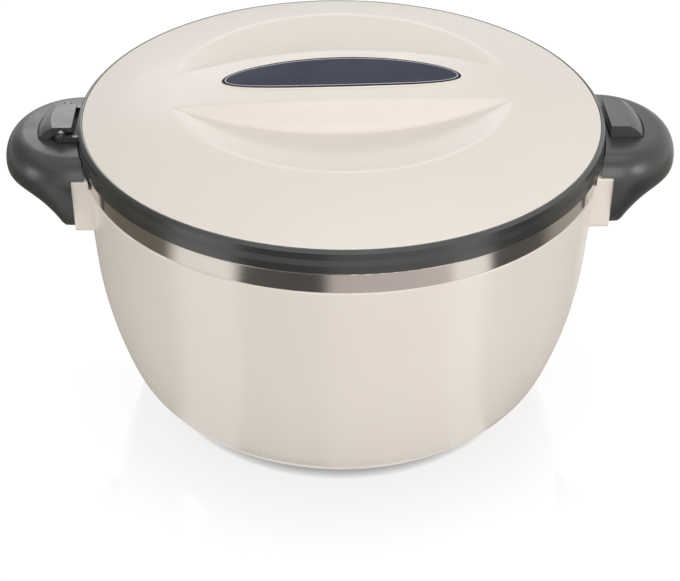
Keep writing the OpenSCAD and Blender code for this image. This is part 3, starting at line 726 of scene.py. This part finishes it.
def make_handle(name, side):
    """An ear with its pockets cut out, drawn on the right and turned over for the left."""
    vertices, faces = closed_ear()
    body = new_piece(name + "_shell", vertices, faces, (CHARCOAL,))
    tools = []
    for number, (points, sides) in enumerate(ear_cutters(name)):
        tool = new_piece(f"cutter_{number}", points, sides, (CHARCOAL,))
        cut = body.modifiers.new("cut", "BOOLEAN")
        cut.operation = "DIFFERENCE"
        cut.solver = "EXACT"
        cut.object = tool
        tools.append(tool)
    graph = bpy.context.evaluated_depsgraph_get()
    mesh = bpy.data.meshes.new_from_object(body.evaluated_get(graph))
    body.modifiers.clear()
    body.data = mesh
    for tool in tools:
        bpy.data.objects.remove(tool)
    if side < 0:
        mesh.transform(Matrix.Scale(-1, 4, (1, 0, 0)))
        mesh.flip_normals()
    for polygon in mesh.polygons:
        polygon.use_smooth = True
    mesh.set_sharp_from_angle(angle=EAR_CREASE)
    mesh.materials.clear()
    mesh.materials.append(CHARCOAL)
    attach(body, "pot")
    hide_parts(name)


# World: white behind the pot and in its reflections, softer as a light
WORLD_LIGHT = 0.54
WHITE = (1, 1, 1, 1)


def make_world():
    world = bpy.data.worlds.new("studio")
    bpy.context.scene.world = world
    graph = Graph(world, bare=True)
    seen = graph.any_ray("Is Camera Ray", "Is Glossy Ray", "Is Transmission Ray")
    strength = graph.rescale(seen, 0, 1, WORLD_LIGHT, 1)
    background = graph.add("ShaderNodeBackground", {"Color": WHITE, "Strength": strength})
    graph.add("ShaderNodeOutputWorld", {"Surface": background.outputs[0]})


# The set: floor, cards and lights
def grey(tone):
    return (tone, tone, tone, 1)


def set_piece(name, points, faces):
    """A piece of the set with a material of its own, and that material's empty node tree."""
    material = bpy.data.materials.new(name)
    mesh = bpy.data.meshes.new(name)
    mesh.from_pydata(points, [], faces)
    mesh.materials.append(material)
    piece = bpy.data.objects.new(name, mesh)
    bpy.context.collection.objects.link(piece)
    return piece, Graph(material, bare=True)


def reflected_only(piece):
    """Leaves a piece to the reflections: it throws no light, no shade and no image of its own."""
    for kind in ("camera", "diffuse", "shadow", "transmission"):
        setattr(piece, "visible_" + kind, False)


# Floor: evenly white to the eye, with a painted contact shadow (ambient occlusion darkening its
# glow) right under the pot, the real shadow kept in its lit share, and a fading image of the pot
FLOOR_HALF = 3.0
FLOOR_TONE = 0.86
FLOOR_GLOW = 0.95
FLOOR_LIT = 0.10
CONTACT_SHADOW_REACH = 6.6 * MM
MIRROR_NEAR = 115 * MM
MIRROR_FAR = 200 * MM
MIRROR_SHARE = 0.19
MIRROR_ROUGH = 0.05


def make_floor():
    half = FLOOR_HALF
    corners = [(-half, -half, 0), (half, -half, 0), (half, half, 0), (-half, half, 0)]
    floor, graph = set_piece("floor", corners, [(0, 1, 2, 3)])
    plain = graph.add("ShaderNodeBsdfDiffuse", {"Color": grey(FLOOR_TONE)})
    shaded = graph.add("ShaderNodeBsdfDiffuse", {"Color": grey(FLOOR_LIT)})
    # Painted shade: ambient occlusion darkens the floor's glow into a tight contact shadow under
    # the pot.
    painted_contact_shadow = graph.add("ShaderNodeAmbientOcclusion", {"Distance": CONTACT_SHADOW_REACH})
    light = {"Color": painted_contact_shadow.outputs["Color"], "Strength": FLOOR_GLOW}
    glow = graph.add("ShaderNodeEmission", light)
    lit = graph.add("ShaderNodeAddShader", {0: shaded.outputs[0], 1: glow.outputs[0]})
    reach = graph.length(graph.add("ShaderNodeTexCoord").outputs["Object"])
    share = graph.rescale(reach, MIRROR_NEAR, MIRROR_FAR, MIRROR_SHARE, 0,
                          interpolation_type="SMOOTHSTEP")
    mirror = graph.add("ShaderNodeBsdfGlossy", {"Roughness": MIRROR_ROUGH})
    glazed = graph.mix(share, lit, mirror)
    seen = graph.any_ray("Is Camera Ray", "Is Glossy Ray")
    shown = graph.mix(seen, plain, glazed)
    graph.add("ShaderNodeOutputMaterial", {"Surface": shown.outputs[0]})


# Cards: a flat ring just over the floor, whose light and dark stretches the steel and gloss show.
# Each has its angle in degrees, from the front to the right, its red, and green and blue as
# shares of that red
CARD_INNER = 112 * MM
CARD_OUTER = 900 * MM
CARD_HEIGHT = 20 * MM
CARD_COLUMNS = 360
CARD_TONES = ((-180, 0.35, 0.95, 0.88), (-112, 0.25, 0.90, 0.75), (-100, 0.17, 0.88, 0.68),
              (-67, 0.18, 0.88, 0.72), (-61, 1.05, 0.97, 0.94), (-40, 1.10, 0.97, 0.94),
              (-35, 0.11, 0.95, 0.92), (-8, 0.10, 0.95, 0.92), (-4, 0.62, 0.93, 0.90),
              (36, 0.72, 0.93, 0.90), (39, 1.10, 0.97, 0.94), (51, 1.10, 0.97, 0.94),
              (54, 0.10, 0.96, 0.92), (76, 0.12, 0.95, 0.88), (84, 0.40, 0.93, 0.82),
              (114, 0.50, 0.93, 0.84), (126, 1.00, 0.96, 0.92), (180, 0.45, 0.96, 0.92))

# Close to the pot the stretches draw together to the front and fade towards one middle tone
CARD_NEAR = 130 * MM
CARD_FAR = 300 * MM
CARD_SPREAD = 1.28
CARD_CALM = 0.55
CARD_MIDDLE = (0.56, 0.53, 0.50, 1)


def card_tones(graph, place, reach):
    """The cards' colour, by the angle round the pot."""
    split = graph.add("ShaderNodeSeparateXYZ", {0: place})
    front = graph.maths("MULTIPLY", split.outputs["Y"], -1)
    turn = graph.maths("ARCTAN2", split.outputs["X"], front)
    spread = graph.rescale(reach, CARD_NEAR, CARD_FAR, CARD_SPREAD, 1)
    share = graph.rescale(graph.maths("MULTIPLY", turn, spread), -math.pi, math.pi, 0, 1)
    tones = graph.add("ShaderNodeValToRGB", {"Fac": share})
    stops = tones.color_ramp.elements
    while len(stops) < len(CARD_TONES):
        stops.new(0.5)
    for stop, (angle, red, green, blue) in zip(stops, CARD_TONES):
        stop.position = (angle + 180) / 360
        stop.color = (red, green * red, blue * red, 1)
    return tones.outputs["Color"]


def make_cards():
    """The ring of cards, which shines upwards alone, so that the floor doesn't mirror it."""
    angles = [2 * math.pi * c / CARD_COLUMNS for c in range(CARD_COLUMNS)]
    points = [(r * math.sin(a), -r * math.cos(a), CARD_HEIGHT)
              for r in (CARD_INNER, CARD_OUTER) for a in angles]
    cards, graph = set_piece("cards", points, ring_faces(2, CARD_COLUMNS))
    reflected_only(cards)
    place = graph.add("ShaderNodeTexCoord").outputs["Object"]
    reach = graph.length(place)
    calm = graph.rescale(reach, CARD_NEAR, CARD_FAR, CARD_CALM, 0)
    tone = graph.blend(calm, card_tones(graph, place, reach), CARD_MIDDLE)
    glow = graph.add("ShaderNodeEmission", {"Color": tone})
    clear = graph.add("ShaderNodeBsdfTransparent")
    seen_from_above = graph.add("ShaderNodeNewGeometry").outputs["Backfacing"]
    sides = graph.mix(seen_from_above, clear, glow)
    graph.add("ShaderNodeOutputMaterial", {"Surface": sides.outputs[0]})


# Flag: a curved grey card that stands on the left, for the reflections too
FLAG_REACH = 1.9
FLAG_TOP = 1.7
FLAG_TONE = 0.35
FLAG_FROM = math.radians(-140)
FLAG_TO = math.radians(-40)
FLAG_COLUMNS = 24


def make_flag():
    angles = [FLAG_FROM + (FLAG_TO - FLAG_FROM) * c / FLAG_COLUMNS for c in range(FLAG_COLUMNS + 1)]
    points = [(FLAG_REACH * math.sin(a), -FLAG_REACH * math.cos(a), z)
              for z in (0, FLAG_TOP) for a in angles]
    upper = len(angles)
    faces = [(c, c + 1, upper + c + 1, upper + c) for c in range(FLAG_COLUMNS)]
    flag, graph = set_piece("flag", points, faces)
    reflected_only(flag)
    glow = graph.add("ShaderNodeEmission", {"Color": grey(FLAG_TONE)})
    graph.add("ShaderNodeOutputMaterial", {"Surface": glow.outputs[0]})


# Softboxes: place, aim, width and height in metres, and power in watts
SOFTBOXES = {
    "back": ((-0.12, 1.5, 0.85), (0, 0, 0.17), 1.06, 0.42, 3.5),
    "top": ((0.2, 0.1, 1.6), (0, 0, 0.15), 1.0, 1.0, 3.2),
    "front": ((0.28, -1.7, 1.05), (0, 0, 0.12), 1.5, 1.2, 12.7),
    "left": ((-1.35, -0.39, 0.3), (0, 0, 0.14), 0.3, 0.42, 2.6),
    "right": ((1.19, -0.74, 0.65), (0, 0, 0.14), 0.4, 0.55, 3.6),
}


def make_lights():
    for name, (place, aim, width, height, power) in SOFTBOXES.items():
        data = bpy.data.lights.new(name, "AREA")
        data.shape = "RECTANGLE"
        data.size = width
        data.size_y = height
        data.energy = power
        lamp = bpy.data.objects.new(name, data)
        bpy.context.collection.objects.link(lamp)
        lamp.location = place
        lamp.visible_camera = False
        lamp.rotation_mode = "QUATERNION"
        lamp.rotation_quaternion = (Vector(place) - Vector(aim)).to_track_quat("Z", "Y")


make_camera()
make_world()
make_floor()
make_cards()
make_flag()
make_lights()
dress_frame()
make_lid()
make_nameplate()
make_handle("left_handle", -1)
make_handle("right_handle", 1)
soften("hinge_block")
soften("latch_button")
bpy.context.scene.view_settings.view_transform = "Standard"
